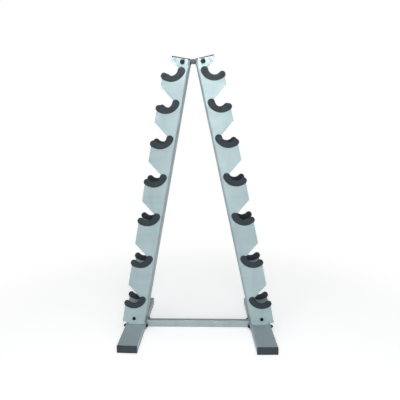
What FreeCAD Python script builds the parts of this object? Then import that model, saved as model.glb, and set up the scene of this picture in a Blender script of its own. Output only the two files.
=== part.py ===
import FreeCAD, Part
import math
import os

# A-frame dumbbell rack: two folded-sheet uprights lean together on two tube feet.
# Each upright carries seven cradles on its front flange and seven on its rear flange.
# Millimetres, +X to the right, +Y to the rear, +Z up. The origin is on the floor,
# in the middle of the rack. Every right-hand piece is mirrored to make the left one.

# ---- stance of one side -------------------------------------------------------
LEAN = 11.3              # uprights lean in towards each other, degrees from vertical
TOE_OUT = 2.0            # front ends of the feet splay outward, degrees
SIDE_X = 260.0           # middle of a foot, from the middle of the rack
INNER_EDGE_X = -33.0     # upright's inner edge line where it meets the floor, from foot middle

# ---- upright: a folded channel, open on its outboard side ----------------------
CHANNEL_DEPTH = 98.0     # front face to rear face
CHANNEL_WIDTH = 93.0     # inner face of the rack to the outboard edge of the teeth
SHEET = 3.0
BEND = 8.0               # outside bend radius
CHANNEL_TOP = 1117.0     # along the lean, from the floor
TOP_CAP = 3.5            # thickness of the cover on the channel's top end
TOP_TOOTH = 70.0         # width of the highest tooth
FOOT_DROP = 6.0          # lower end of a flange, further down at its outboard edge

# ---- cradles: cut-outs with a moulded cover on their edge -----------------------
TOP_SEAT = 1072.7        # middle of the highest seat, along the lean
SEAT_PITCHES = (121.0, 137.0, 153.0, 161.0, 180.5, 180.5)
SEAT_IN = 63.5           # middle of a seat, from the inner face of the channel
SEAT_RADIUS = 24.3       # what the handle lies on
COVER_WALL = 5.5         # cover between the handle and the sheet's edge
COVER_DEPTH = 11.0       # front to back, with the sheet in its slot
TIP_DISTANCE = 37.0      # middle of the hook's round tip, from the middle of the seat
ROOT_DISTANCE = 38.5     # middle of the cover's round inner end, from the middle of the seat
COVER_BACK_RADIUS = 56.0
MOUTH_START = 167.0      # where the tooth's slope runs into the cut-out, degrees
TOOTH_RISE = 52.0        # lower corner of a tooth, above the middle of the seat below it

# ---- feet and crossbar ----------------------------------------------------------
FOOT_WIDTH = 80.0
FOOT_HEIGHT = 30.0
FOOT_LENGTH = 470.0      # over both end caps
TUBE_WALL = 2.0
CAP_FLANGE = 6.0         # part of an end cap that shows
CAP_PLUG = 18.0          # part of an end cap inside the tube
CAP_CHAMFER = 1.5
PLUG_PLAY = 0.2          # between an end cap's plug and the tube
PLUG_WALL = 2.5
PLUG_FLOOR = 1.0
FOOT_CORNER = 3.0        # outside corner radius of a foot tube
BAR_HEIGHT = 30.0
BAR_DEPTH = 20.0
BAR_CORNER = 2.0         # outside corner radius of the crossbar
BAR_BOTTOM = 1.0         # clearance under the crossbar
END_PLATE = 4.0
END_PLATE_LENGTH = 96.0
END_PLATE_LOW = 3.0
END_PLATE_TOP = 34.0
END_PLATE_CHAMFER = 10.0
BRACKET_INNER = 9.0      # foot bracket, from the inner face of the channel
BRACKET_OUTER = 69.0
BRACKET_TOP = 88.0       # along the lean

# ---- fasteners --------------------------------------------------------------------
M8 = {"shank": 8.0, "flats": 13.0, "head": 5.3, "nut": 6.5, "hole": 8.6}
M10 = {"shank": 10.0, "flats": 17.0, "head": 6.4, "nut": 8.0, "hole": 10.8}
BORE_PLAY = 0.3          # a nut's bore over its bolt's shank
HEX_TURNED = 0.96        # flat end face of a head or nut, as a share of its width
THREAD_END = 4.0         # bolt that shows past its nut
TOP_BOLT_IN = 26.5       # top bolt, from the inner face of the channel
TOP_BOLT_DOWN = 12.0     # top bolt, below the end of the channel
FLANGE_BOLT_IN = 46.5    # lower flange bolt, from the inner face of the channel
FLANGE_BOLT_UP = 49.0    # lower flange bolt, along the lean
FOOT_BOLT_Y = 33.0       # crossbar bolts, in front of and behind the middle
FOOT_BOLT_Z = 17.5
WASHER_RADIUS = 8.5
WASHER = 1.6

# ---- links that join the tops of the two uprights -----------------------------------
LINK = 4.0               # plate thickness
LINK_FACE = 41.0         # outside face of a link, from the middle of the channel
LINK_NECK = 11.0         # height of a link midway between the uprights
LINK_RISE = 4.0          # top of a link there, above its top inside the channel
LINK_SLOT = 16.0         # depth of the slot a link passes through in each web
LINK_PLAY = 0.8          # clearance in the web's slot
SLEEVE_RADIUS = 8.0

TOUCH = 0.01             # points closer together than this are at the same place

HALF_DEPTH = CHANNEL_DEPTH / 2
INSIDE = HALF_DEPTH - SHEET
CUT_RADIUS = SEAT_RADIUS + COVER_WALL
HOOK_TIP = TIP_DISTANCE - CUT_RADIUS
SIN_LEAN = math.sin(math.radians(LEAN))
COS_LEAN = math.cos(math.radians(LEAN))
CHANNEL_FOOT = FOOT_HEIGHT / COS_LEAN


def vec(x, y, z):
    return FreeCAD.Vector(x, y, z)


def box(x0, x1, y0, y1, z0, z1):
    return Part.makeBox(x1 - x0, y1 - y0, z1 - z0, vec(x0, y0, z0))


def seat_heights():
    """Middles of the seats along the lean, from the top one down."""
    heights = [TOP_SEAT]
    for pitch in SEAT_PITCHES:
        heights.append(heights[-1] - pitch)
    return heights


# ---- frames ---------------------------------------------------------------------
# The channel is drawn upright: X across it from its inner face, Z along the lean.

def leaned(shape):
    """From the channel's own frame into the frame of its foot."""
    shape = shape.copy()
    shape.rotate(vec(0, 0, 0), vec(0, 1, 0), -LEAN)
    shape.translate(vec(INNER_EDGE_X, 0, 0))
    return shape


def stood(shape):
    """From the foot's frame to its place on the right of the rack."""
    shape = shape.copy()
    shape.rotate(vec(0, 0, 0), vec(0, 0, 1), TOE_OUT)
    shape.translate(vec(SIDE_X, 0, 0))
    return shape


def mirrored(shape):
    return shape.mirror(vec(0, 0, 0), vec(1, 0, 0))


def foot_point(across, along):
    """A point of the channel's side view, as X and Z in the foot's frame."""
    x = INNER_EDGE_X + across * COS_LEAN - along * SIN_LEAN
    return x, across * SIN_LEAN + along * COS_LEAN


# ---- side-view outlines -----------------------------------------------------------

def around(middle, radius, degrees):
    angle = math.radians(degrees)
    return vec(middle.x + radius * math.cos(angle), 0, middle.z + radius * math.sin(angle))


def arc(middle, radius, start, end):
    """Arc in the XZ plane between two angles in degrees."""
    points = [around(middle, radius, start + (end - start) * part) for part in (0, 0.5, 1)]
    return Part.Arc(points[0], points[1], points[2]).toShape()


def heading(origin, target):
    """Angle of the line from one point to another, from 0 to 360 degrees."""
    return math.degrees(math.atan2(target.z - origin.z, target.x - origin.x)) % 360


def tip_middle(seat):
    """Middle of a hook's round tip, whose outboard side is flush with the teeth."""
    out = CHANNEL_WIDTH - HOOK_TIP - SEAT_IN
    down = math.sqrt(TIP_DISTANCE ** 2 - out ** 2)
    return vec(seat.x + out, 0, seat.z - down)


def channel_outline():
    """Side view of the channel: straight inner edge, teeth and hooks outboard."""
    seats = [vec(SEAT_IN, 0, height) for height in seat_heights()]
    slope_foot = around(seats[0], CUT_RADIUS, MOUTH_START)
    slope = (seats[0].z + TOOTH_RISE - slope_foot.z) / (CHANNEL_WIDTH - slope_foot.x)
    lowest = vec(CHANNEL_WIDTH, 0, CHANNEL_FOOT - FOOT_DROP)
    corners = [lowest, vec(0, 0, CHANNEL_FOOT)]
    corners += [vec(0, 0, CHANNEL_TOP), vec(TOP_TOOTH, 0, CHANNEL_TOP)]
    corners.append(vec(TOP_TOOTH, 0, slope_foot.z + slope * (TOP_TOOTH - slope_foot.x)))
    edges = [Part.makeLine(a, b) for a, b in zip(corners, corners[1:])]
    last = corners[-1]
    for number, seat in enumerate(seats):
        tip = tip_middle(seat)
        toward_tip = heading(seat, tip)
        edges.append(Part.makeLine(last, around(seat, CUT_RADIUS, MOUTH_START)))
        edges.append(arc(seat, CUT_RADIUS, MOUTH_START, toward_tip))
        edges.append(arc(tip, HOOK_TIP, toward_tip - 180, 0))
        last = lowest
        if number + 1 < len(seats):
            last = vec(CHANNEL_WIDTH, 0, seats[number + 1].z + TOOTH_RISE)
        edges.append(Part.makeLine(around(tip, HOOK_TIP, 0), last))
    return Part.Wire(edges)


def cover_outline(seat):
    """Side view of a cradle cover: a crescent with two round ends."""
    root = vec(seat.x - ROOT_DISTANCE, 0, seat.z)
    tip = tip_middle(seat)
    root_radius = ROOT_DISTANCE - SEAT_RADIUS
    tip_radius = TIP_DISTANCE - SEAT_RADIUS
    to_root = COVER_BACK_RADIUS - root_radius
    to_tip = COVER_BACK_RADIUS - tip_radius
    apart = root.distanceToPoint(tip)
    along = (to_root ** 2 - to_tip ** 2 + apart ** 2) / (2 * apart)
    aside = math.sqrt(to_root ** 2 - along ** 2)
    line = (tip - root).normalize()
    back = root + line * along + vec(-line.z, 0, line.x) * aside
    from_back_root = heading(back, root)
    from_back_tip = heading(back, tip)
    toward_tip = heading(seat, tip)
    edges = [arc(seat, SEAT_RADIUS, 180, toward_tip)]
    edges.append(arc(tip, tip_radius, toward_tip - 180, from_back_tip - 360))
    edges.append(arc(back, COVER_BACK_RADIUS, from_back_tip, from_back_root))
    edges.append(arc(root, root_radius, from_back_root, 0))
    return Part.Wire(edges)


def extruded(wire, y0, y1):
    face = Part.Face(wire)
    face.translate(vec(0, y0, 0))
    return face.extrude(vec(0, y1 - y0, 0))


# ---- uprights ------------------------------------------------------------------------

def channel_section():
    """The folded channel without its hooks, standing on the floor."""
    beyond = CHANNEL_WIDTH + BEND
    outer = box(0, beyond, -HALF_DEPTH, HALF_DEPTH, 0, CHANNEL_TOP)
    outer = outer.makeFillet(BEND, upright_edges(outer, 0))
    inner = box(SHEET, beyond, -INSIDE, INSIDE, 0, CHANNEL_TOP)
    inner = inner.makeFillet(BEND - SHEET, upright_edges(inner, SHEET))
    return outer.cut(inner)


def upright_edges(solid, x):
    """The vertical edges of a box that lie at X."""
    found = []
    for edge in solid.Edges:
        ends = [vertex.Point for vertex in edge.Vertexes]
        if all(abs(end.x - x) < TOUCH for end in ends) and abs(ends[0].z - ends[1].z) > TOUCH:
            found.append(edge)
    return found


def cross_hole(across, along, diameter):
    """Front-to-back cutter through both flanges."""
    start = vec(across, -CHANNEL_DEPTH, along)
    return Part.makeCylinder(diameter / 2, 2 * CHANNEL_DEPTH, start, vec(0, 1, 0))


def upright():
    channel = channel_section().common(extruded(channel_outline(), -HALF_DEPTH, HALF_DEPTH))
    channel = channel.cut(cross_hole(TOP_BOLT_IN, CHANNEL_TOP - TOP_BOLT_DOWN, M10["hole"]))
    channel = channel.cut(cross_hole(FLANGE_BOLT_IN, FLANGE_BOLT_UP, M8["hole"]))
    for side in (-1, 1):
        near, far = sorted((side * (LINK_FACE + LINK_PLAY), side * (LINK_FACE - LINK - LINK_PLAY)))
        channel = channel.cut(box(-1, BEND, near, far, CHANNEL_TOP - LINK_SLOT, CHANNEL_TOP + 1))
    return channel


def top_cap():
    """Flat cover on the top end of the channel."""
    lid = box(0, TOP_TOOTH, -HALF_DEPTH, HALF_DEPTH, CHANNEL_TOP, CHANNEL_TOP + TOP_CAP)
    return lid.makeFillet(BEND, upright_edges(lid, 0))


def cover(seat, flange_y, channel):
    """Moulded cover that straddles the sheet's edge at one seat."""
    body = extruded(cover_outline(seat), flange_y - COVER_DEPTH / 2, flange_y + COVER_DEPTH / 2)
    return body.cut(channel)


# ---- top links ---------------------------------------------------------------------------

def top_link(side):
    """Flat link behind one pair of flanges, joining the uprights' top bolts.

    The half on the right runs past the middle of the rack and is cut off there.
    """
    bolt_x, bolt_z = foot_point(TOP_BOLT_IN, CHANNEL_TOP - TOP_BOLT_DOWN)
    top = foot_point(0, CHANNEL_TOP)[1] - LINK_PLAY
    eye = top - bolt_z
    beyond = -SIDE_X - LINK_FACE
    outside = foot_point(0, CHANNEL_TOP)[0] - LINK_PLAY
    raised = top + LINK_RISE
    bolt = vec(bolt_x, 0, bolt_z)
    corners = [around(bolt, eye, -90), vec(beyond, 0, raised - LINK_NECK), vec(beyond, 0, raised)]
    corners += [vec(outside - LINK_RISE, 0, raised), vec(outside, 0, top), around(bolt, eye, 90)]
    edges = [Part.makeLine(a, b) for a, b in zip(corners, corners[1:])]
    edges.append(arc(bolt, eye, 90, -90))
    near, far = sorted((side * LINK_FACE, side * (LINK_FACE - LINK)))
    half = extruded(Part.Wire(edges), near, far)
    hole = Part.makeCylinder(M10["hole"] / 2, CHANNEL_DEPTH, vec(bolt_x, -HALF_DEPTH, bolt_z), vec(0, 1, 0))
    half = stood(half.cut(hole))
    half = half.common(box(0, SIDE_X, -CHANNEL_DEPTH, CHANNEL_DEPTH, 0, 2 * CHANNEL_TOP))
    return half.fuse(mirrored(half)).removeSplitter()


# ---- feet and crossbar -----------------------------------------------------------------------

def foot_bolt_cutter(y):
    start = vec(-FOOT_WIDTH, y, FOOT_BOLT_Z)
    return Part.makeCylinder(M8["hole"] / 2, 2 * FOOT_WIDTH, start, vec(1, 0, 0))


def foot_tube():
    half = FOOT_LENGTH / 2 - CAP_FLANGE
    side = FOOT_WIDTH / 2
    outer = box(-side, side, -half, half, 0, FOOT_HEIGHT)
    outer = outer.makeFillet(FOOT_CORNER, long_edges(outer))
    inner = box(-side + TUBE_WALL, side - TUBE_WALL, -half, half, TUBE_WALL, FOOT_HEIGHT - TUBE_WALL)
    tube = outer.cut(inner)
    for y in (-FOOT_BOLT_Y, FOOT_BOLT_Y):
        tube = tube.cut(foot_bolt_cutter(y))
    return tube


def long_edges(solid):
    """Edges of a box that run front to back."""
    return [edge for edge in solid.Edges if abs(edge.Vertexes[0].Y - edge.Vertexes[1].Y) > 1]


def end_cap(side):
    """Push-in plastic cap: a block that shows and a hollow plug inside the tube."""
    end = FOOT_LENGTH / 2
    half = FOOT_WIDTH / 2
    shoulder = end - CAP_FLANGE
    block = box(-half, half, shoulder, end, 0, FOOT_HEIGHT)
    front_edges = [edge for edge in block.Edges if edge.CenterOfMass.y > end - TOUCH]
    block = block.makeChamfer(CAP_CHAMFER, front_edges)
    gap = TUBE_WALL + PLUG_PLAY
    plug = box(-half + gap, half - gap, shoulder - CAP_PLUG, shoulder, gap, FOOT_HEIGHT - gap)
    wall = gap + PLUG_WALL
    hollow = box(-half + wall, half - wall, shoulder - CAP_PLUG, shoulder - PLUG_FLOOR, wall, FOOT_HEIGHT - wall)
    cap = block.fuse(plug.cut(hollow)).removeSplitter()
    if side < 0:
        cap.rotate(vec(0, 0, 0), vec(0, 0, 1), 180)
    return cap


def foot_bracket():
    """Folded bracket on the foot, with a leg against the inside of each flange."""
    legs = box(BRACKET_INNER, BRACKET_OUTER, -INSIDE, INSIDE, 0, BRACKET_TOP)
    legs = legs.cut(box(0, CHANNEL_WIDTH, -INSIDE + SHEET, INSIDE - SHEET, -1, BRACKET_TOP + 1))
    legs = legs.cut(cross_hole(FLANGE_BOLT_IN, FLANGE_BOLT_UP, M8["hole"]))
    legs = leaned(legs)
    above = box(-FOOT_WIDTH, FOOT_WIDTH, -HALF_DEPTH, HALF_DEPTH, FOOT_HEIGHT, 2 * BRACKET_TOP)
    legs = legs.common(above)
    low = foot_point(BRACKET_INNER, CHANNEL_FOOT)[0]
    high = foot_point(BRACKET_OUTER, CHANNEL_FOOT)[0]
    base = box(low, high, -INSIDE, INSIDE, FOOT_HEIGHT, FOOT_HEIGHT + SHEET)
    return legs.fuse(base).removeSplitter()


def end_plate():
    """Plate on the inner side of a foot, which carries one end of the crossbar."""
    inner = -FOOT_WIDTH / 2
    half = END_PLATE_LENGTH / 2
    plate = box(inner - END_PLATE, inner, -half, half, END_PLATE_LOW, END_PLATE_TOP)
    corners = []
    for edge in plate.Edges:
        middle = edge.CenterOfMass
        if abs(abs(middle.y) - half) < TOUCH and abs(middle.z - END_PLATE_LOW) < TOUCH:
            corners.append(edge)
    plate = plate.makeChamfer(END_PLATE_CHAMFER, corners)
    for y in (-FOOT_BOLT_Y, FOOT_BOLT_Y):
        plate = plate.cut(foot_bolt_cutter(y))
    return plate


def crossbar():
    """Rectangular tube between the two end plates, its ends cut to their toe-out."""
    half = BAR_DEPTH / 2
    top = BAR_BOTTOM + BAR_HEIGHT
    outer = box(-SIDE_X, SIDE_X, -half, half, BAR_BOTTOM, top)
    outer = outer.makeFillet(BAR_CORNER, [edge for edge in outer.Edges if edge.Length > SIDE_X])
    hollow = half - TUBE_WALL
    inner = box(-SIDE_X, SIDE_X, -hollow, hollow, BAR_BOTTOM + TUBE_WALL, top - TUBE_WALL)
    tube = outer.cut(inner)
    beyond = stood(box(-FOOT_WIDTH / 2 - END_PLATE, SIDE_X, -SIDE_X, SIDE_X, 0, 2 * top))
    return tube.cut(beyond).cut(mirrored(beyond))


# ---- fasteners ---------------------------------------------------------------------------------
# Each is drawn along +Y from its seat face at Y = 0, then moved to its place.

def hexagon(flats, y0, y1):
    """Hexagonal prism along Y with its outer corners turned off."""
    ring = [around(vec(0, 0, 0), flats / math.sqrt(3), 60 * turn) for turn in range(7)]
    prism = extruded(Part.makePolygon(ring), y0, y1)
    reach = flats / math.sqrt(3)
    depth = abs(y1 - y0)
    cone = Part.makeCone(reach + depth, flats / 2 * HEX_TURNED, depth, vec(0, y0, 0), vec(0, y1 - y0, 0))
    return prism.common(cone)


def bolt(size, grip):
    """Head in front of Y = 0, shank behind it, long enough for a grip and a nut."""
    length = grip + size["nut"] + THREAD_END
    shank = Part.makeCylinder(size["shank"] / 2, length, vec(0, 0, 0), vec(0, 1, 0))
    return hexagon(size["flats"], 0, -size["head"]).fuse(shank).removeSplitter()


def nut(size, grip):
    """Nut whose seat face is one grip behind the bolt's head."""
    body = hexagon(size["flats"], grip, grip + size["nut"])
    bore = Part.makeCylinder((size["shank"] + BORE_PLAY) / 2, 4 * grip, vec(0, -grip, 0), vec(0, 1, 0))
    return body.cut(bore)


def ring(outer, bore, y0, y1):
    body = Part.makeCylinder(outer, y1 - y0, vec(0, y0, 0), vec(0, 1, 0))
    return body.cut(Part.makeCylinder(bore, y1 - y0, vec(0, y0, 0), vec(0, 1, 0)))


def on_flange(shape, across, along, y):
    """Moves a fastener to a point of the channel's side view, its seat face at Y."""
    shape = shape.copy()
    x, z = foot_point(across, along)
    shape.translate(vec(x, y, z))
    return stood(shape)


def at_top_bolt(shape, y):
    return on_flange(shape, TOP_BOLT_IN, CHANNEL_TOP - TOP_BOLT_DOWN, y)


def at_lower_bolt(shape, front):
    """On the front flange, or turned about to face the rear flange."""
    shape = shape.copy()
    if not front:
        shape.rotate(vec(0, 0, 0), vec(0, 0, 1), 180)
    return on_flange(shape, FLANGE_BOLT_IN, FLANGE_BOLT_UP, -HALF_DEPTH if front else HALF_DEPTH)


def slid(shape, y):
    """Moves a fastener along its own axis."""
    shape = shape.copy()
    shape.translate(vec(0, y, 0))
    return shape


def at_foot_bolts(shape):
    """Two copies through the end plate and the foot, heads inboard."""
    placed = []
    for y in (-FOOT_BOLT_Y, FOOT_BOLT_Y):
        copy = shape.copy()
        copy.rotate(vec(0, 0, 0), vec(0, 0, 1), -90)
        copy.translate(vec(-FOOT_WIDTH / 2 - END_PLATE, y, FOOT_BOLT_Z))
        placed.append(stood(copy))
    return placed


def fasteners():
    """Groups of identical fasteners on the right-hand side, by node name."""
    foot_grip = FOOT_WIDTH + END_PLATE + 2 * WASHER
    washer = ring(WASHER_RADIUS, M8["hole"] / 2, 0, WASHER)
    head_washers = at_foot_bolts(slid(washer, -WASHER))
    nut_washers = at_foot_bolts(slid(washer, FOOT_WIDTH + END_PLATE))
    collar = ring(SLEEVE_RADIUS, M10["hole"] / 2, 0, INSIDE - LINK_FACE)
    gap = LINK_FACE - LINK
    sleeve = ring(SLEEVE_RADIUS, M10["hole"] / 2, -gap, gap)
    return {
        "top_bolts": [at_top_bolt(bolt(M10, CHANNEL_DEPTH), -HALF_DEPTH)],
        "top_nuts": [at_top_bolt(nut(M10, CHANNEL_DEPTH), -HALF_DEPTH)],
        "top_sleeves": [at_top_bolt(sleeve, 0)],
        "top_collars": [at_top_bolt(collar, -INSIDE), at_top_bolt(collar, LINK_FACE)],
        "flange_bolts": [at_lower_bolt(bolt(M8, 2 * SHEET), front) for front in (True, False)],
        "flange_nuts": [at_lower_bolt(nut(M8, 2 * SHEET), front) for front in (True, False)],
        "foot_bolts": at_foot_bolts(slid(bolt(M8, foot_grip), -WASHER)),
        "foot_nuts": at_foot_bolts(slid(nut(M8, foot_grip), -WASHER)),
        "foot_washers": head_washers + nut_washers,
    }


# ---- the rack ---------------------------------------------------------------------------------------

def right_side():
    """Pieces of the right-hand side that have a mirrored twin, by name."""
    channel = upright()
    pieces = {
        "upright": stood(leaned(channel)),
        "top_cap": stood(leaned(top_cap())),
        "foot_tube": stood(foot_tube()),
        "foot_bracket": stood(foot_bracket()),
        "crossbar_end_plate": stood(end_plate()),
        "front_end_cap": stood(end_cap(-1)),
        "rear_end_cap": stood(end_cap(1)),
    }
    flange_middle = HALF_DEPTH - SHEET / 2
    for number, height in enumerate(seat_heights(), start=1):
        seat = vec(SEAT_IN, 0, height)
        for name, y in (("front", -flange_middle), ("rear", flange_middle)):
            pieces[f"{name}_cradle_{number}"] = stood(leaned(cover(seat, y, channel)))
    return pieces


def export(name, shape):
    if not shape.isValid():
        raise ValueError(name + " is not a valid shape")
    shape.exportStep("parts/" + name + ".step")


def main():
    os.makedirs("parts", exist_ok=True)
    for name, shape in right_side().items():
        export("right_" + name, shape)
        export("left_" + name, mirrored(shape))
    for name, shapes in fasteners().items():
        both = shapes + [mirrored(shape) for shape in shapes]
        export(name, Part.makeCompound(both))
    export("front_top_link", top_link(-1))
    export("rear_top_link", top_link(1))
    export("crossbar", crossbar())


main()
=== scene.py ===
import math
import bmesh
import bpy
from mathutils import Euler, Matrix, Vector


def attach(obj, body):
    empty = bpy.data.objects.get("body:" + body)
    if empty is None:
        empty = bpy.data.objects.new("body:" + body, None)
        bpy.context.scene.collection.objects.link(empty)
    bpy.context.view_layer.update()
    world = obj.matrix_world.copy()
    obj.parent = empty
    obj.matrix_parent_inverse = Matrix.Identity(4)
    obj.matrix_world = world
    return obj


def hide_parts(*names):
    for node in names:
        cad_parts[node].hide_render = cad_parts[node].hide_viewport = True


# Looks of an A-frame dumbbell rack. Metres and degrees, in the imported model's frame:
# +X to the right, +Y to the rear, +Z up, the origin on the floor in the middle.

MM = 0.001

# ---- driving dimensions of the folded uprights, as the frame has them ----------------
LEAN = 11.3
TOE_OUT = 2.0
SIDE_X = 260.0 * MM
INNER_EDGE_X = -33.0 * MM
CHANNEL_DEPTH = 98.0 * MM
CHANNEL_WIDTH = 93.0 * MM
CHANNEL_TOP = 1117.0 * MM
SHEET = 3.0 * MM
BEND = 8.0 * MM
TOP_TOOTH = 70.0 * MM
FOOT_DROP = 6.0 * MM
TOP_SEAT = 1072.7 * MM
SEAT_PITCHES = (121.0, 137.0, 153.0, 161.0, 180.5, 180.5)
SEAT_IN = 63.5 * MM
CUT_RADIUS = 29.8 * MM
TIP_DISTANCE = 37.0 * MM
MOUTH_START = 167.0
TOOTH_RISE = 52.0 * MM
FOOT_WIDTH = 80.0 * MM
FOOT_HEIGHT = 30.0 * MM
END_PLATE = 4.0 * MM
BAR_DEPTH = 20.0 * MM
BAR_BOTTOM = 1.0 * MM
BAR_TOP = 31.0 * MM
BRACKET_OUTER = 69.0 * MM
HOOK_TIP = TIP_DISTANCE - CUT_RADIUS
CHANNEL_FOOT = FOOT_HEIGHT / math.cos(math.radians(LEAN))
LINK_SLOT = (36.2 * MM, 41.8 * MM)
LINK_SLOT_DEPTH = 16.0 * MM
COVER_HALF_DEPTH = 5.5 * MM

# ---- rounding of edges and size of weld beads ------------------------------------------
CAP_ROUNDING = 0.8 * MM
TUBE_ROUNDING = 0.5 * MM
BRACKET_ROUNDING = 0.6 * MM
PLATE_ROUNDING = 0.5 * MM
END_CAP_ROUNDING = 1.0 * MM
BAR_ROUNDING = 0.4 * MM
LINK_ROUNDING = 0.5 * MM
FASTENER_ROUNDING = 0.3 * MM
SHEET_ROUNDING = 0.5 * MM
COVER_ROUNDING = 2.8 * MM
COVER_SEGMENTS = 5
SHARP = 30.0               # an edge that turns more than this, in degrees, is rounded
BEND_STEPS = 6
BEAD_SIDES = 10
BEAD_STEP = 0.5 * MM
RIPPLE_LENGTH = 2.4 * MM
RIPPLE = 0.12
BRACKET_BEAD = 2.2 * MM
BRACKET_BEAD_LENGTH = 22 * MM
BRACKET_BEAD_PLACES = (-28 * MM, 0.0, 28 * MM)
PLATE_BEAD = 1.8 * MM

# ---- colours: each paint has a tone and a shade, the others a tone and a worn tone --------
SILVER = (0.335, 0.435, 0.452), (0.29, 0.38, 0.397)
BASE_GREY = (0.345, 0.42, 0.44), (0.30, 0.37, 0.39)
LINK_GREY = (0.040, 0.046, 0.050), (0.030, 0.035, 0.039)
RUBBER = (0.021, 0.030, 0.037), (0.085, 0.104, 0.118)
PLASTIC = (0.022, 0.030, 0.038), (0.20, 0.21, 0.22)
BLACK_OXIDE = (0.008, 0.009, 0.010), (0.24, 0.24, 0.25)
ZINC = (0.36, 0.37, 0.38), (0.60, 0.60, 0.61)
BARE_EDGE = (0.74, 0.76, 0.77)

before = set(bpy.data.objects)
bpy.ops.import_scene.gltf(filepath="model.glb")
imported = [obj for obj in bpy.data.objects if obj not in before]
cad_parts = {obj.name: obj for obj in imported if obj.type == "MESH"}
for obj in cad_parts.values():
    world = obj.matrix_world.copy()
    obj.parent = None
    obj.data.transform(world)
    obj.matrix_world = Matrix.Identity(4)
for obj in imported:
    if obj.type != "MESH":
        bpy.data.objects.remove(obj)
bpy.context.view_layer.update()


# ---- camera, floor and light ---------------------------------------------------------
KEY_POWER = 25
FILL_POWER = 12
LOW_POWER = 3.0
SKY_POWER = 33
TOP_POWER = 0.33
GROUND_GREY = (0.10, 0.103, 0.106)
CEILING_GREY = (0.12, 0.123, 0.126)
WHITE = (1, 1, 1)
WORLD_BANDS = ((0.40, GROUND_GREY), (0.44, WHITE), (0.595, WHITE), (0.66, CEILING_GREY))
CAMERA_PLACE = (0.0526, -1.9443, 0.9570)
CAMERA_PITCH, CAMERA_PAN, CAMERA_ROLL = 11.71, 4.60, -1.62
LENS, SENSOR, SHIFT = 44.1, 36.0, 0.075
FLOOR_RADIUS = 12.0
FLOOR_DROP = 0.0004
FLOOR_PALE = 0.86
FLOOR_GLOW = 0.45
FADE_START, FADE_END = 0.45, 1.3


def add_camera():
    data = bpy.data.cameras.new("camera")
    data.lens = LENS
    data.sensor_width = SENSOR
    data.shift_x = SHIFT
    camera = bpy.data.objects.new("camera", data)
    camera.location = CAMERA_PLACE
    aim = Euler((math.radians(90 - CAMERA_PITCH), 0, math.radians(CAMERA_PAN))).to_matrix()
    aim = aim @ Matrix.Rotation(math.radians(CAMERA_ROLL), 3, "Z")
    camera.rotation_euler = aim.to_euler()
    bpy.context.collection.objects.link(camera)
    bpy.context.scene.camera = camera


def add_area_light(name, place, target, size, power, colour, spread=180):
    data = bpy.data.lights.new(name, "AREA")
    data.spread = math.radians(spread)
    data.shape = "RECTANGLE"
    data.size, data.size_y = size
    data.energy = power
    data.color = colour
    light = bpy.data.objects.new(name, data)
    light.location = place
    light.rotation_euler = (Vector(target) - Vector(place)).to_track_quat("-Z", "Y").to_euler()
    bpy.context.collection.objects.link(light)


def add_lights():
    add_area_light("key", (0.25, -3.0, 1.4), (0, 0, 0.7), (1.2, 1.2), KEY_POWER, (1.0, 0.99, 0.98))
    add_area_light("fill", (-1.5, -2.6, 1.1), (0, 0, 0.6), (1.6, 1.6), FILL_POWER, (0.96, 0.98, 1.0))
    add_area_light("low", (0.1, -2.4, 0.45), (0.05, 0, 0.1), (0.8, 0.5), LOW_POWER, (1.0, 1.0, 1.0), 70)
    add_area_light("sky", (0, -0.4, 3.0), (0, 0, 0), (2.4, 2.4), SKY_POWER, (0.97, 0.99, 1.0))
    add_area_light("top", (0.06, -1.9, 1.55), (0, 0, 1.08), (0.4, 0.2), TOP_POWER, (1.0, 0.97, 1.0), 22)


def add_world():
    """A studio with white walls up to a little above the rack, a dim ceiling and a grey ground."""
    world = bpy.data.worlds.new("studio")
    bpy.context.scene.world = world
    world.use_nodes = True
    nodes, links = world.node_tree.nodes, world.node_tree.links
    nodes.clear()
    coordinates = nodes.new("ShaderNodeTexCoord")
    parts = nodes.new("ShaderNodeSeparateXYZ")
    height = nodes.new("ShaderNodeMapRange")
    height.inputs["From Min"].default_value = -1.0
    ramp = nodes.new("ShaderNodeValToRGB")
    stops = ramp.color_ramp.elements
    for stop, (position, grey) in zip((stops[0], stops[1]), (WORLD_BANDS[0], WORLD_BANDS[-1])):
        stop.position = position
        stop.color = (*grey, 1)
    for position, grey in WORLD_BANDS[1:-1]:
        stops.new(position).color = (*grey, 1)
    background = nodes.new("ShaderNodeBackground")
    output = nodes.new("ShaderNodeOutputWorld")
    links.new(coordinates.outputs["Generated"], parts.inputs[0])
    links.new(parts.outputs["Z"], height.inputs["Value"])
    links.new(height.outputs["Result"], ramp.inputs[0])
    links.new(ramp.outputs["Color"], background.inputs["Color"])
    links.new(background.outputs[0], output.inputs[0])


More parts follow.
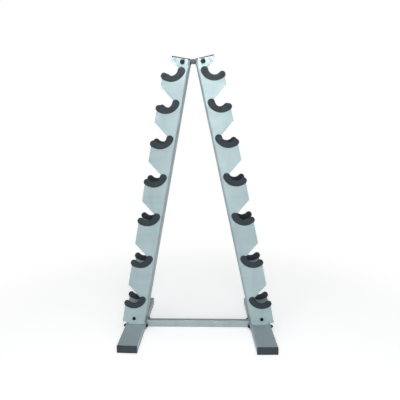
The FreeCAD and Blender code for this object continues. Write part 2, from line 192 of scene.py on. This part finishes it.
def add_floor():
    """A wide pale disc that fades to plain white away from the rack and doesn't light it."""
    material = bpy.data.materials.new("pale_floor")
    material.use_nodes = True
    nodes, links = material.node_tree.nodes, material.node_tree.links
    shader = nodes["Principled BSDF"]
    shader.inputs["Base Color"].default_value = (FLOOR_PALE, FLOOR_PALE, FLOOR_PALE, 1)
    shader.inputs["Roughness"].default_value = 0.7
    shader.inputs["Specular IOR Level"].default_value = 0.15
    shader.inputs["Emission Color"].default_value = (*WHITE, 1)
    shader.inputs["Emission Strength"].default_value = FLOOR_GLOW
    glow = nodes.new("ShaderNodeEmission")
    glow.inputs["Strength"].default_value = 1.0
    coordinates = nodes.new("ShaderNodeTexCoord")
    length = nodes.new("ShaderNodeVectorMath")
    length.operation = "LENGTH"
    fade = nodes.new("ShaderNodeMapRange")
    fade.interpolation_type = "SMOOTHSTEP"
    fade.inputs["From Min"].default_value = FADE_START
    fade.inputs["From Max"].default_value = FADE_END
    mix = nodes.new("ShaderNodeMixShader")
    links.new(coordinates.outputs["Object"], length.inputs[0])
    links.new(length.outputs["Value"], fade.inputs["Value"])
    links.new(fade.outputs["Result"], mix.inputs["Fac"])
    links.new(shader.outputs[0], mix.inputs[1])
    links.new(glow.outputs[0], mix.inputs[2])
    links.new(mix.outputs[0], nodes["Material Output"].inputs["Surface"])
    bm = bmesh.new()
    bmesh.ops.create_circle(bm, cap_ends=True, radius=FLOOR_RADIUS, segments=96)
    mesh = bpy.data.meshes.new("floor")
    bm.to_mesh(mesh)
    bm.free()
    mesh.materials.append(material)
    floor = bpy.data.objects.new("floor", mesh)
    floor.location = (0, 0, -FLOOR_DROP)
    floor.visible_diffuse = False
    bpy.context.collection.objects.link(floor)


# ---- materials ------------------------------------------------------------------------

class Finish:
    """A Principled material whose colour, roughness and bump come from named noises."""

    def __init__(self, name, metallic=0.0, specular=0.5):
        self.material = bpy.data.materials.new(name)
        self.material.use_nodes = True
        self.nodes = self.material.node_tree.nodes
        self.links = self.material.node_tree.links
        self.shader = self.nodes["Principled BSDF"]
        self.shader.inputs["Metallic"].default_value = metallic
        self.shader.inputs["Specular IOR Level"].default_value = specular
        self.place = self.nodes.new("ShaderNodeTexCoord").outputs["Object"]

    def noise(self, scale, detail=3.0, roughness=0.55, stretch=None):
        where = self.place
        if stretch:
            mapping = self.nodes.new("ShaderNodeMapping")
            mapping.inputs["Scale"].default_value = stretch
            self.links.new(where, mapping.inputs["Vector"])
            where = mapping.outputs["Vector"]
        node = self.nodes.new("ShaderNodeTexNoise")
        node.inputs["Scale"].default_value = scale
        node.inputs["Detail"].default_value = detail
        node.inputs["Roughness"].default_value = roughness
        self.links.new(where, node.inputs["Vector"])
        return node.outputs["Fac"]

    def cells(self, scale):
        node = self.nodes.new("ShaderNodeTexVoronoi")
        node.inputs["Scale"].default_value = scale
        self.links.new(self.place, node.inputs["Vector"])
        return node.outputs["Color"]

    def spread(self, value, low, high, new_low=0.0, new_high=1.0):
        node = self.nodes.new("ShaderNodeMapRange")
        node.inputs["From Min"].default_value = low
        node.inputs["From Max"].default_value = high
        node.inputs["To Min"].default_value = new_low
        node.inputs["To Max"].default_value = new_high
        self.links.new(value, node.inputs["Value"])
        return node.outputs["Result"]

    def blend(self, factor, first, second):
        node = self.nodes.new("ShaderNodeMix")
        node.data_type = "RGBA"
        self.links.new(factor, node.inputs["Factor"])
        for socket, colour in ((6, first), (7, second)):
            if isinstance(colour, tuple):
                node.inputs[socket].default_value = (*colour, 1)
            else:
                self.links.new(colour, node.inputs[socket])
        return node.outputs[2]

    def product(self, first, second):
        node = self.nodes.new("ShaderNodeMath")
        node.operation = "MULTIPLY"
        self.links.new(first, node.inputs[0])
        if isinstance(second, float):
            node.inputs[1].default_value = second
        else:
            self.links.new(second, node.inputs[1])
        return node.outputs[0]

    def edges(self, radius):
        """1 along sharp edges and 0 on flats, from the turn of a rounded normal."""
        rounded = self.nodes.new("ShaderNodeBevel")
        rounded.samples = 4
        rounded.inputs["Radius"].default_value = radius
        plain = self.nodes.new("ShaderNodeNewGeometry")
        dot = self.nodes.new("ShaderNodeVectorMath")
        dot.operation = "DOT_PRODUCT"
        self.links.new(rounded.outputs["Normal"], dot.inputs[0])
        self.links.new(plain.outputs["Normal"], dot.inputs[1])
        return self.spread(dot.outputs["Value"], 0.99, 0.85)

    def colour(self, socket):
        self.links.new(socket, self.shader.inputs["Base Color"])

    def rough(self, socket):
        self.links.new(socket, self.shader.inputs["Roughness"])

    def bump(self, height, distance, strength=1.0):
        node = self.nodes.new("ShaderNodeBump")
        node.inputs["Strength"].default_value = strength
        node.inputs["Distance"].default_value = distance
        self.links.new(height, node.inputs["Height"])
        before = self.shader.inputs["Normal"].links
        if before:
            self.links.new(before[0].from_socket, node.inputs["Normal"])
        self.links.new(node.outputs["Normal"], self.shader.inputs["Normal"])


def scaled(tone, share):
    return tuple(min(1.0, part * share) for part in tone)


def powder_coat(name, tone, shade, roughness):
    """Silver powder coat: orange peel, metal flake, faint bands and scuffs, thin edges."""
    finish = Finish(name, metallic=0.12, specular=0.3)
    wide = finish.spread(finish.noise(6.0, 2.0), 0.35, 0.65)
    base = finish.blend(wide, tone, shade)
    bands = finish.spread(finish.noise(34.0, 4.0, 0.6, stretch=(0.15, 0.15, 1.0)), 0.38, 0.66, 0.0, 0.35)
    base = finish.blend(bands, base, scaled(tone, 1.16))
    flake = finish.spread(finish.cells(2600.0), 0.0, 1.0, 0.0, 0.16)
    base = finish.blend(flake, base, scaled(tone, 1.5))
    marks = finish.noise(26.0, 4.0, 0.55, stretch=(1.0, 1.0, 0.18))
    marks = finish.spread(marks, 0.50, 0.80, 0.0, 0.30)
    base = finish.blend(marks, base, scaled(shade, 0.72))
    worn = finish.product(finish.edges(0.0012), finish.spread(finish.noise(90.0, 4.0), 0.45, 0.7))
    base = finish.blend(finish.product(worn, 0.45), base, BARE_EDGE)
    finish.colour(base)
    finish.rough(finish.spread(finish.noise(18.0, 5.0), 0.3, 0.7, roughness - 0.06, roughness + 0.08))
    finish.bump(finish.noise(420.0, 2.0), 0.00012, 0.35)
    finish.bump(finish.noise(1900.0, 1.0), 0.00004, 0.30)
    return finish.material


def moulded_rubber(name, tone, dust):
    """Dark slate rubber: matt grain, paler dust and scuffs on its edges."""
    finish = Finish(name, specular=0.22)
    base = finish.blend(finish.spread(finish.noise(30.0, 4.0), 0.35, 0.65), tone, scaled(tone, 1.25))
    worn = finish.spread(finish.noise(160.0, 5.0), 0.40, 0.72, 0.1, 0.9)
    scuff = finish.product(finish.edges(0.0022), worn)
    base = finish.blend(finish.product(scuff, 0.5), base, dust)
    powder = finish.spread(finish.noise(75.0, 6.0, 0.65), 0.52, 0.8, 0.0, 0.35)
    base = finish.blend(powder, base, dust)
    finish.colour(base)
    finish.rough(finish.spread(finish.noise(55.0, 4.0), 0.3, 0.7, 0.50, 0.68))
    finish.bump(finish.noise(1500.0, 3.0), 0.00010, 0.55)
    finish.bump(finish.noise(260.0, 2.0), 0.00020, 0.20)
    return finish.material


def grained_plastic(name, tone, scuffed):
    """Dark moulded plastic: fine grain, paler scuffs on its edges."""
    finish = Finish(name, specular=0.35)
    base = finish.blend(finish.spread(finish.noise(22.0, 3.0), 0.35, 0.65), tone, scaled(tone, 1.2))
    scuff = finish.product(finish.edges(0.0018), finish.spread(finish.noise(120.0, 5.0), 0.42, 0.7))
    base = finish.blend(finish.product(scuff, 0.5), base, scuffed)
    finish.colour(base)
    finish.rough(finish.spread(finish.noise(40.0, 3.0), 0.3, 0.7, 0.42, 0.58))
    finish.bump(finish.noise(900.0, 2.0), 0.00012, 0.5)
    return finish.material


def dark_steel(name, tone, bright):
    """Black or zinc finish on turned steel: fine machining marks, bare metal on corners."""
    finish = Finish(name, metallic=0.85, specular=0.25)
    base = finish.blend(finish.spread(finish.noise(120.0, 4.0), 0.35, 0.65), tone, scaled(tone, 1.5))
    bare = finish.product(finish.edges(0.0007), finish.spread(finish.noise(300.0, 4.0), 0.4, 0.65))
    base = finish.blend(finish.product(bare, 0.7), base, bright)
    finish.colour(base)
    finish.rough(finish.spread(finish.noise(200.0, 3.0), 0.3, 0.7, 0.34, 0.50))
    finish.bump(finish.noise(1200.0, 2.0), 0.00005, 0.4)
    return finish.material


# ---- mesh helpers ------------------------------------------------------------------------

def add_piece(name, mesh, material, slot, *nodes):
    """Makes the mesh a piece that rides on the rack and stands for these CAD nodes."""
    mesh.materials.clear()
    mesh.materials.append(material)
    for polygon in mesh.polygons:
        polygon.use_smooth = True
    piece = bpy.data.objects.new(name, mesh)
    bpy.context.collection.objects.link(piece)
    modifier = piece.modifiers.new("face_normals", "WEIGHTED_NORMAL")
    modifier.keep_sharp = False
    modifier.weight = 100
    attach(piece, "root")
    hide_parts(*nodes)
    return piece


def turned_edges(bm, degrees):
    """Edges whose two faces meet at more than this angle."""
    limit = math.radians(degrees)
    return [edge for edge in bm.edges if len(edge.link_faces) == 2 and edge.calc_face_angle() > limit]


def cleaned(node):
    """The node's own mesh with its flat faces whole again."""
    bm = bmesh.new()
    bm.from_mesh(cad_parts[node].data)
    bmesh.ops.remove_doubles(bm, verts=bm.verts, dist=0.002 * MM)
    bmesh.ops.dissolve_limit(bm, angle_limit=math.radians(0.5), verts=bm.verts, edges=bm.edges)
    return bm


def rounded_copy(node, material, slot, radius, segments=2):
    """A piece in the node's shape with every sharp edge rounded."""
    bm = cleaned(node)
    bmesh.ops.bevel(bm, geom=turned_edges(bm, SHARP), offset=radius, segments=segments,
                    profile=0.5, affect="EDGES", clamp_overlap=True)
    mesh = bpy.data.meshes.new(node + "_finished")
    bm.to_mesh(mesh)
    bm.free()
    return add_piece(node + "_finished", mesh, material, slot, node)


# ---- uprights --------------------------------------------------------------------------------

def around(middle, radius, degrees):
    angle = math.radians(degrees)
    return Vector((middle.x + radius * math.cos(angle), middle.y + radius * math.sin(angle)))


def arc_points(middle, radius, start, end, step=7.5):
    count = max(2, round(abs(end - start) / step))
    return [around(middle, radius, start + (end - start) * turn / count) for turn in range(count + 1)]


def seat_heights():
    heights = [TOP_SEAT]
    for pitch in SEAT_PITCHES:
        heights.append(heights[-1] - pitch * MM)
    return heights


def flange_outline():
    """Outboard outline of a flange from its top corner down: across, along the lean."""
    seats = [Vector((SEAT_IN, height)) for height in seat_heights()]
    slope_foot = around(seats[0], CUT_RADIUS, MOUTH_START)
    slope = (seats[0].y + TOOTH_RISE - slope_foot.y) / (CHANNEL_WIDTH - slope_foot.x)
    points = [Vector((TOP_TOOTH, CHANNEL_TOP))]
    points.append(Vector((TOP_TOOTH, slope_foot.y + slope * (TOP_TOOTH - slope_foot.x))))
    out = CHANNEL_WIDTH - HOOK_TIP - SEAT_IN
    down = math.sqrt(TIP_DISTANCE ** 2 - out ** 2)
    toward_tip = 360 - math.degrees(math.atan2(down, out))
    for number, seat in enumerate(seats):
        tip = Vector((seat.x + out, seat.y - down))
        if number:
            points.append(Vector((CHANNEL_WIDTH, seat.y + TOOTH_RISE)))
        points += arc_points(seat, CUT_RADIUS, MOUTH_START, toward_tip)
        points += arc_points(tip, HOOK_TIP, toward_tip - 180, 0, 15)[1:]
    points.append(Vector((CHANNEL_WIDTH, CHANNEL_FOOT - FOOT_DROP)))
    return points


def foot_to_rack(side):
    """From a foot's own frame to its place on the rack."""
    matrix = Matrix.Translation((SIDE_X, 0, 0)) @ Matrix.Rotation(math.radians(TOE_OUT), 4, "Z")
    if side == "left":
        matrix = Matrix.Scale(-1, 4, (1, 0, 0)) @ matrix
    return matrix


def upright_to_rack(side):
    """From the channel's own frame, drawn upright, to its place on the rack."""
    lean = Matrix.Rotation(math.radians(-LEAN), 4, "Y")
    return foot_to_rack(side) @ Matrix.Translation((INNER_EDGE_X, 0, 0)) @ lean


def web_outline(reach):
    """Top edge of the web from the rear to the front, with the two link slots."""
    low = CHANNEL_TOP - LINK_SLOT_DEPTH
    near, far = LINK_SLOT
    steps = [(reach, CHANNEL_TOP), (far, CHANNEL_TOP), (far, low), (near, low), (near, CHANNEL_TOP)]
    return steps + [(-across, along) for across, along in reversed(steps)]


def upright(side, material):
    """Folded sheet: a web, two bends and two hooked flanges, made as one mid-surface."""
    half = SHEET / 2
    middle_radius = BEND - half
    flat = CHANNEL_DEPTH / 2 - BEND
    bm = bmesh.new()
    web = [bm.verts.new((half, across, along)) for across, along in web_outline(flat)]
    feet = [bm.verts.new((half, across, CHANNEL_FOOT)) for across in (-flat, flat)]
    bm.faces.new(web + feet)
    for sign, top, foot in ((1, web[0], feet[1]), (-1, web[-1], feet[0])):
        last_top, last_foot = top, foot
        for step in range(1, BEND_STEPS + 1):
            angle = math.radians(90) * step / BEND_STEPS
            x = BEND - middle_radius * math.cos(angle)
            y = sign * (flat + middle_radius * math.sin(angle))
            next_top = bm.verts.new((x, y, CHANNEL_TOP))
            next_foot = bm.verts.new((x, y, CHANNEL_FOOT))
            bm.faces.new((last_top, next_top, next_foot, last_foot))
            last_top, last_foot = next_top, next_foot
        y = sign * (CHANNEL_DEPTH / 2 - half)
        rim = [bm.verts.new((point.x, y, point.y)) for point in flange_outline()]
        bm.faces.new([last_foot, last_top] + rim)
    bmesh.ops.recalc_face_normals(bm, faces=bm.faces)
    mesh = bpy.data.meshes.new(side + "_folded_upright")
    bm.to_mesh(mesh)
    bm.free()
    mesh.transform(upright_to_rack(side))
    if side == "left":
        mesh.flip_normals()
    piece = bpy.data.objects.new(side + "_sheet", mesh)
    bpy.context.collection.objects.link(piece)
    thickness = piece.modifiers.new("sheet", "SOLIDIFY")
    thickness.thickness = SHEET
    thickness.offset = 0.0
    thickness.use_even_offset = True
    rounding = piece.modifiers.new("cut_edges", "BEVEL")
    rounding.width = SHEET_ROUNDING
    rounding.segments = 2
    rounding.limit_method = "ANGLE"
    rounding.angle_limit = math.radians(50)
    evaluated = piece.evaluated_get(bpy.context.evaluated_depsgraph_get())
    final = bpy.data.meshes.new_from_object(evaluated)
    bpy.data.objects.remove(piece)
    return add_piece(side + "_folded_upright", final, material, "silver_paint", side + "_upright")


# ---- welds --------------------------------------------------------------------------------------

def add_bead(bm, start, end, radius):
    """A closed weld bead between two points: rippled, and rounded off at its ends."""
    start, end = Vector(start), Vector(end)
    length = (end - start).length
    along = (end - start) / length
    across = along.orthogonal().normalized()
    other = along.cross(across)
    count = round(length / BEAD_STEP)
    rings = []
    for step in range(count + 1):
        place = length * step / count
        to_end = min(place, length - place) + 0.2 * radius
        size = radius * math.sqrt(1 - (1 - min(1.0, to_end / radius)) ** 2)
        size *= 1 + RIPPLE * math.cos(2 * math.pi * place / RIPPLE_LENGTH)
        middle = start + along * place
        ring = []
        for side in range(BEAD_SIDES):
            angle = 2 * math.pi * side / BEAD_SIDES
            outward = across * math.cos(angle) + other * math.sin(angle)
            ring.append(bm.verts.new(middle + size * outward))
        rings.append(ring)
    for first, second in zip(rings, rings[1:]):
        for side in range(BEAD_SIDES):
            after = (side + 1) % BEAD_SIDES
            bm.faces.new((first[side], first[after], second[after], second[side]))
    bm.faces.new(rings[0][::-1])
    bm.faces.new(rings[-1])


def welded_copy(node, material, slot, radius, beads, to_rack, bead_radius):
    """The rounded copy of a node, with weld beads given in the foot's frame."""
    piece = rounded_copy(node, material, slot, radius)
    bm = bmesh.new()
    for start, end in beads:
        add_bead(bm, start, end, bead_radius)
    bmesh.ops.transform(bm, matrix=to_rack, verts=bm.verts)
    bmesh.ops.recalc_face_normals(bm, faces=bm.faces)
    bm.from_mesh(piece.data)
    bm.to_mesh(piece.data)
    bm.free()
    for polygon in piece.data.polygons:
        polygon.use_smooth = True


def crossbar_beads():
    """Along both sides and the top of the crossbar, where it meets its end plate."""
    x = -FOOT_WIDTH / 2 - END_PLATE - 0.3 * MM
    half = BAR_DEPTH / 2 + 0.3 * MM
    low, high = BAR_BOTTOM + 2 * MM, BAR_TOP + 0.3 * MM
    return [((x, -half, low), (x, -half, high)), ((x, half, low), (x, half, high)),
            ((x, -half, high), (x, half, high))]


def bracket_beads():
    """Along the outboard edge of the bracket's base, on top of the foot."""
    lean = math.radians(LEAN)
    x = INNER_EDGE_X + BRACKET_OUTER * math.cos(lean) - CHANNEL_FOOT * math.sin(lean) + 0.5 * MM
    z = FOOT_HEIGHT + 0.5 * MM
    half = BRACKET_BEAD_LENGTH / 2
    return [((x, y - half, z), (x, y + half, z)) for y in BRACKET_BEAD_PLACES]


# ---- the rack ------------------------------------------------------------------------------------

def cradle_cover(node, side, flange, material):
    """One cover: well rounded outside, crisp where the sheet enters its slot."""
    to_channel = upright_to_rack(side).inverted()
    sign = 1 if flange == "rear" else -1
    middle = sign * (CHANNEL_DEPTH / 2 - SHEET / 2)
    bm = cleaned(node)
    outside = COVER_HALF_DEPTH - 0.2 * MM
    outer = []
    for edge in turned_edges(bm, SHARP):
        ends = [(to_channel @ vertex.co).y - middle for vertex in edge.verts]
        if all(abs(end) > outside for end in ends):
            outer.append(edge)
    bmesh.ops.bevel(bm, geom=outer, offset=COVER_ROUNDING, segments=COVER_SEGMENTS,
                    profile=0.5, affect="EDGES", clamp_overlap=True)
    mesh = bpy.data.meshes.new(node + "_moulded")
    bm.to_mesh(mesh)
    bm.free()
    add_piece(node + "_moulded", mesh, material, "cradle_rubber", node)


def finish_covers(material):
    """A cover on each of the hooks of both flanges of both uprights."""
    for side in ("left", "right"):
        for flange in ("front", "rear"):
            for number in range(1, len(SEAT_PITCHES) + 2):
                cradle_cover(f"{side}_{flange}_cradle_{number}", side, flange, material)


def build():
    silver = powder_coat("silver_powder_coat", *SILVER, 0.42)
    base = powder_coat("base_powder_coat", *BASE_GREY, 0.36)
    rubber = moulded_rubber("cradle_rubber", *RUBBER)
    plastic = grained_plastic("cap_plastic", *PLASTIC)
    black = dark_steel("black_oxide", *BLACK_OXIDE)
    zinc = dark_steel("zinc_plate", *ZINC)
    link = powder_coat("dark_link_paint", *LINK_GREY, 0.45)
    finish_covers(rubber)
    for side in ("left", "right"):
        upright(side, silver)
        rounded_copy(side + "_top_cap", plastic, "cap_plastic", CAP_ROUNDING)
        rounded_copy(side + "_foot_tube", base, "base_paint", TUBE_ROUNDING)
        place = foot_to_rack(side)
        welded_copy(side + "_foot_bracket", base, "base_paint", BRACKET_ROUNDING,
                    bracket_beads(), place, BRACKET_BEAD)
        welded_copy(side + "_crossbar_end_plate", base, "base_paint", PLATE_ROUNDING,
                    crossbar_beads(), place, PLATE_BEAD)
        for end in ("front", "rear"):
            rounded_copy(f"{side}_{end}_end_cap", plastic, "cap_plastic", END_CAP_ROUNDING, 3)
    rounded_copy("crossbar", base, "base_paint", BAR_ROUNDING)
    for name in ("front_top_link", "rear_top_link"):
        rounded_copy(name, link, "dark_link", LINK_ROUNDING)
    for name in ("top_bolts", "top_nuts", "flange_bolts", "flange_nuts",
                 "foot_bolts", "foot_nuts", "foot_washers"):
        rounded_copy(name, black, "black_fasteners", FASTENER_ROUNDING)
    for name in ("top_collars", "top_sleeves"):
        rounded_copy(name, zinc, "zinc_sleeve", FASTENER_ROUNDING)


bpy.context.scene.view_settings.view_transform = "Standard"
add_camera()
add_world()
add_lights()
add_floor()
build()
